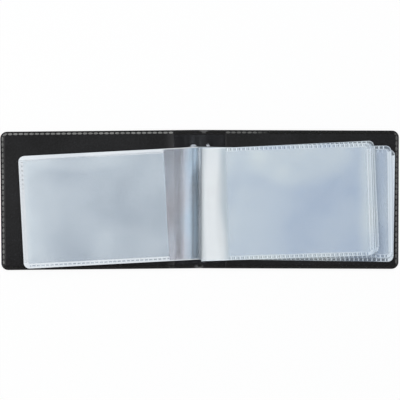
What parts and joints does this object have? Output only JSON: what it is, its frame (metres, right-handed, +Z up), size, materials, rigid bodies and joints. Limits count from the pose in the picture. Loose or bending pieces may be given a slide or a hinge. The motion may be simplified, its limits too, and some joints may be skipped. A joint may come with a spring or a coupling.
{
  "type": "business card book",
  "caption": "Slim folding card book lying open: stitched leatherette cover with inner flaps and a bound stack of clear pocket leaves that turn about the gutter.",
  "frame": {"origin": "middle of the spine on the surface that the open book lies on", "axes": "+X across the open book towards the back cover, +Y along the spine towards its head, +Z up"},
  "size_m": [0.2312, 0.0805, 0.0079],
  "materials": {
    "leatherette": "black grained leatherette, low sheen",
    "lining": "smooth black coated lining",
    "board": "grey pressed board",
    "thread": "grey twisted thread",
    "clear_sheet": "clear glossy sheet",
    "film": "clear, slightly milky soft plastic film"
  },
  "bodies": {
    "back_cover": {"back_cover_skin": "leatherette", "back_cover_board": "board", "back_lining": "lining", "back_tuck_sheet": "clear_sheet", "back_flap": "leatherette", "back_stitching": "thread"},
    "front_cover": {"front_cover_skin": "leatherette", "front_cover_board": "board", "front_lining": "lining", "front_tuck_sheet": "clear_sheet", "front_flap": "leatherette", "front_stitching": "thread"},
    "spine": {"spine_skin": "leatherette", "spine_lining": "lining", "spine_carrier": "clear_sheet", "binding_bead": "clear_sheet", "spine_stitching": "thread"},
    "front_leaf_1": {"front_leaf_1_gutter_film": "film", "front_leaf_1_web": "film", "front_leaf_1_upper_pocket": "film", "front_leaf_1_lower_pocket": "film", "front_leaf_1_welds": "film"},
    "front_leaf_2": {"front_leaf_2_gutter_film": "film", "front_leaf_2_web": "film", "front_leaf_2_upper_pocket": "film", "front_leaf_2_lower_pocket": "film", "front_leaf_2_welds": "film"},
    "front_leaf_3": {"front_leaf_3_gutter_film": "film", "front_leaf_3_web": "film", "front_leaf_3_upper_pocket": "film", "front_leaf_3_lower_pocket": "film", "front_leaf_3_welds": "film"},
    "back_leaf_1": {"back_leaf_1_gutter_film": "film", "back_leaf_1_web": "film", "back_leaf_1_upper_pocket": "film", "back_leaf_1_lower_pocket": "film", "back_leaf_1_welds": "film"},
    "back_leaf_2": {"back_leaf_2_gutter_film": "film", "back_leaf_2_web": "film", "back_leaf_2_upper_pocket": "film", "back_leaf_2_lower_pocket": "film", "back_leaf_2_welds": "film"},
    "back_leaf_3": {"back_leaf_3_gutter_film": "film", "back_leaf_3_web": "film", "back_leaf_3_upper_pocket": "film", "back_leaf_3_lower_pocket": "film", "back_leaf_3_welds": "film"},
    "back_leaf_4": {"back_leaf_4_gutter_film": "film", "back_leaf_4_web": "film", "back_leaf_4_upper_pocket": "film", "back_leaf_4_lower_pocket": "film", "back_leaf_4_welds": "film"},
    "back_leaf_5": {"back_leaf_5_gutter_film": "film", "back_leaf_5_web": "film", "back_leaf_5_upper_pocket": "film", "back_leaf_5_lower_pocket": "film", "back_leaf_5_welds": "film"}
  },
  "joints": [
    {"name": "front_cover_fold", "type": "hinge", "parent": "back_cover", "child": "front_cover", "pos_m": [0, 0, 0.00675], "axis": [0, -1, 0], "range_deg": [-180, 0]},
    {"name": "spine_roll", "type": "hinge", "parent": "back_cover", "child": "spine", "pos_m": [0, 0, 0.00675], "axis": [0, -1, 0], "range_deg": [-90, 0]},
    {"name": "front_leaf_1_turn", "type": "hinge", "parent": "front_cover", "child": "front_leaf_1", "pos_m": [0, 0, 0.00675], "axis": [0, 1, 0], "range_deg": [0, 180]},
    {"name": "front_leaf_2_turn", "type": "hinge", "parent": "front_leaf_1", "child": "front_leaf_2", "pos_m": [0, 0, 0.00675], "axis": [0, 1, 0], "range_deg": [0, 180]},
    {"name": "front_leaf_3_turn", "type": "hinge", "parent": "front_leaf_2", "child": "front_leaf_3", "pos_m": [0, 0, 0.00675], "axis": [0, 1, 0], "range_deg": [0, 180]},
    {"name": "back_leaf_1_turn", "type": "hinge", "parent": "back_cover", "child": "back_leaf_1", "pos_m": [0, 0, 0.00675], "axis": [0, -1, 0], "range_deg": [0, 180]},
    {"name": "back_leaf_2_turn", "type": "hinge", "parent": "back_leaf_1", "child": "back_leaf_2", "pos_m": [0, 0, 0.00675], "axis": [0, -1, 0], "range_deg": [0, 180]},
    {"name": "back_leaf_3_turn", "type": "hinge", "parent": "back_leaf_2", "child": "back_leaf_3", "pos_m": [0, 0, 0.00675], "axis": [0, -1, 0], "range_deg": [0, 180]},
    {"name": "back_leaf_4_turn", "type": "hinge", "parent": "back_leaf_3", "child": "back_leaf_4", "pos_m": [0, 0, 0.00675], "axis": [0, -1, 0], "range_deg": [0, 180]},
    {"name": "back_leaf_5_turn", "type": "hinge", "parent": "back_leaf_4", "child": "back_leaf_5", "pos_m": [0, 0, 0.00675], "axis": [0, -1, 0], "range_deg": [0, 180]}
  ],
  "couplings": [
    {"joint": "spine_roll", "follows": "front_cover_fold", "ratio": 0.5}
  ]
}
